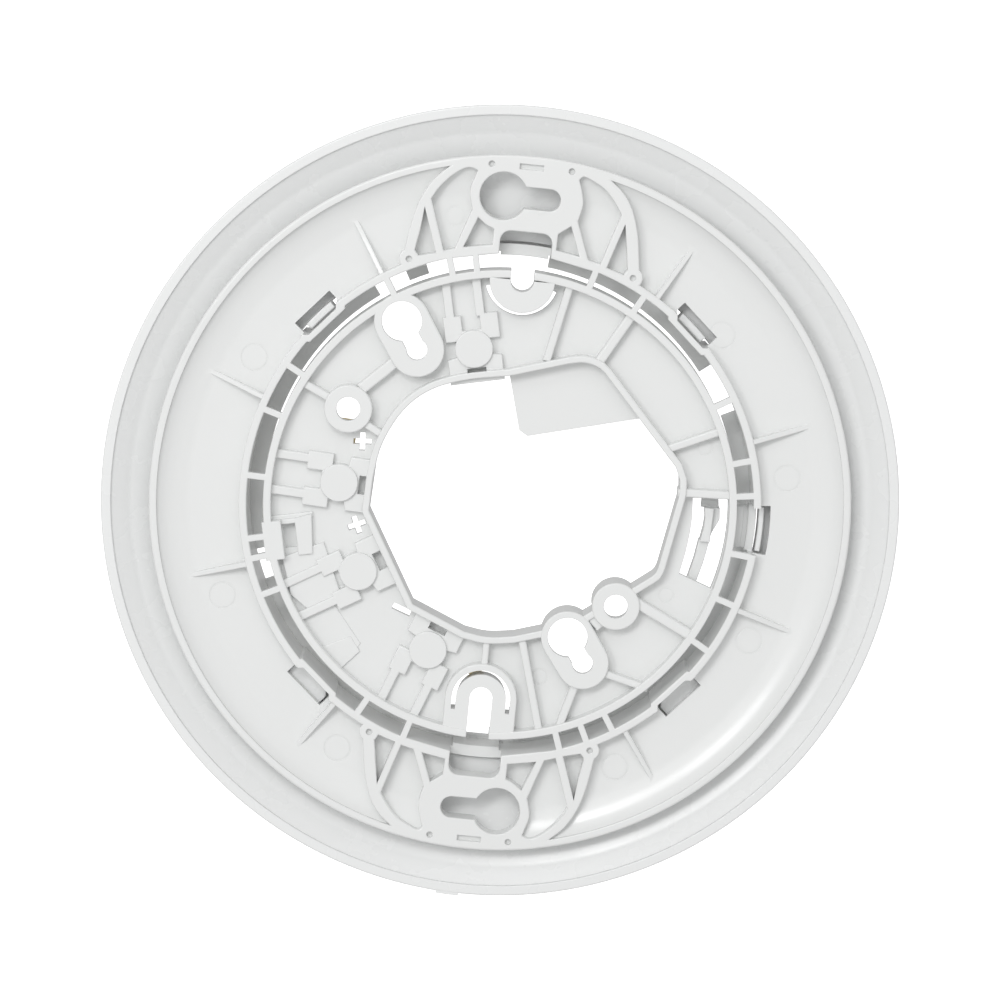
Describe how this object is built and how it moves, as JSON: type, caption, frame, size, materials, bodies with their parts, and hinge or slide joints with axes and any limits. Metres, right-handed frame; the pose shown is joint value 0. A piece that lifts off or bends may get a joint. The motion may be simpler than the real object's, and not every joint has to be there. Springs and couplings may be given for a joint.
{
  "type": "smoke detector mounting base",
  "caption": "Round flanged ceiling base for a plug-in smoke detector: keyhole plate, socket collar, wiring terminals with screw clamps, tamper arm and removable trim ring.",
  "frame": {"origin": "centre of the ceiling plane, which the rear faces of the keyhole pads touch", "axes": "+Z out of the rear face towards the ceiling; the outer keyholes lie on the Y axis and their slots run along X"},
  "size_m": [0.155, 0.1555, 0.0155],
  "materials": {
    "white_plastic": "smooth moulded, faint satin",
    "ring_plastic": "smooth moulded, satin",
    "spring_brass": "stamped strip, bright",
    "zinc_plate": "zinc plated",
    "screw_steel": "zinc plated"
  },
  "bodies": {
    "base": {"base_body": "white_plastic", "terminal_plate_1": "spring_brass", "terminal_plate_2": "spring_brass", "terminal_plate_3": "spring_brass", "terminal_plate_4": "spring_brass"},
    "ring": {"trim_ring": "ring_plastic"},
    "tamper_arm": {"tamper_arm": "white_plastic"},
    "contact_leaf_1": {"contact_leaf_1": "spring_brass"},
    "wire_clamp_1": {"wire_clamp_1": "zinc_plate"},
    "terminal_screw_1": {"terminal_screw_1": "screw_steel"},
    "contact_leaf_2": {"contact_leaf_2": "spring_brass"},
    "wire_clamp_2": {"wire_clamp_2": "zinc_plate"},
    "terminal_screw_2": {"terminal_screw_2": "screw_steel"},
    "contact_leaf_3": {"contact_leaf_3": "spring_brass"},
    "wire_clamp_3": {"wire_clamp_3": "zinc_plate"},
    "terminal_screw_3": {"terminal_screw_3": "screw_steel"},
    "contact_leaf_4": {"contact_leaf_4": "spring_brass"},
    "wire_clamp_4": {"wire_clamp_4": "zinc_plate"},
    "terminal_screw_4": {"terminal_screw_4": "screw_steel"}
  },
  "joints": [
    {"name": "trim_ring_pull", "type": "slide", "parent": "base", "child": "ring", "axis": [0, 0, -1], "range_m": [0, 0.025]},
    {"name": "tamper_arm_flex", "type": "hinge", "parent": "base", "child": "tamper_arm", "pos_m": [0.038, -0.01, -0.0055], "axis": [0, 0, 1], "range_deg": [-5, 5], "stiffness_Nm_per_rad": 0.05},
    {"name": "contact_leaf_1_flex", "type": "hinge", "parent": "base", "child": "contact_leaf_1", "pos_m": [-0.00416, 0.03177, -0.00595], "axis": [0.274, -0.9617, 0], "range_deg": [0, 8], "stiffness_Nm_per_rad": 0.02},
    {"name": "wire_clamp_1_lift", "type": "slide", "parent": "base", "child": "wire_clamp_1", "axis": [0, 0, -1], "range_m": [0, 0.0025]},
    {"name": "terminal_screw_1_turn", "type": "hinge", "parent": "wire_clamp_1", "child": "terminal_screw_1", "pos_m": [-0.00869, 0.03049, -0.008], "axis": [0, 0, -1], "range_deg": [0, 1286]},
    {"name": "contact_leaf_2_flex", "type": "hinge", "parent": "base", "child": "contact_leaf_2", "pos_m": [-0.03124, 0.00618, -0.00595], "axis": [0.9989, -0.0471, 0], "range_deg": [0, 8], "stiffness_Nm_per_rad": 0.02},
    {"name": "wire_clamp_2_lift", "type": "slide", "parent": "base", "child": "wire_clamp_2", "axis": [0, 0, -1], "range_m": [0, 0.0025]},
    {"name": "terminal_screw_2_turn", "type": "hinge", "parent": "wire_clamp_2", "child": "terminal_screw_2", "pos_m": [-0.03146, 0.00148, -0.008], "axis": [0, 0, -1], "range_deg": [0, 1286]},
    {"name": "contact_leaf_3_flex", "type": "hinge", "parent": "base", "child": "contact_leaf_3", "pos_m": [-0.02377, -0.01952, -0.00595], "axis": [-0.8607, -0.509, 0], "range_deg": [0, 8], "stiffness_Nm_per_rad": 0.02},
    {"name": "wire_clamp_3_lift", "type": "slide", "parent": "base", "child": "wire_clamp_3", "axis": [0, 0, -1], "range_m": [0, 0.0025]},
    {"name": "terminal_screw_3_turn", "type": "hinge", "parent": "wire_clamp_3", "child": "terminal_screw_3", "pos_m": [-0.02617, -0.01547, -0.008], "axis": [0, 0, -1], "range_deg": [0, 1286]},
    {"name": "contact_leaf_4_flex", "type": "hinge", "parent": "base", "child": "contact_leaf_4", "pos_m": [-0.00683, -0.03121, -0.00595], "axis": [-0.3551, -0.9348, 0], "range_deg": [0, 8], "stiffness_Nm_per_rad": 0.02},
    {"name": "wire_clamp_4_lift", "type": "slide", "parent": "base", "child": "wire_clamp_4", "axis": [0, 0, -1], "range_m": [0, 0.0025]},
    {"name": "terminal_screw_4_turn", "type": "hinge", "parent": "wire_clamp_4", "child": "terminal_screw_4", "pos_m": [-0.01122, -0.02954, -0.008], "axis": [0, 0, -1], "range_deg": [0, 1286]}
  ],
  "couplings": [
    {"joint": "terminal_screw_1_turn", "follows": "wire_clamp_1_lift", "rad_per_m": 8976},
    {"joint": "terminal_screw_2_turn", "follows": "wire_clamp_2_lift", "rad_per_m": 8976},
    {"joint": "terminal_screw_3_turn", "follows": "wire_clamp_3_lift", "rad_per_m": 8976},
    {"joint": "terminal_screw_4_turn", "follows": "wire_clamp_4_lift", "rad_per_m": 8976}
  ]
}
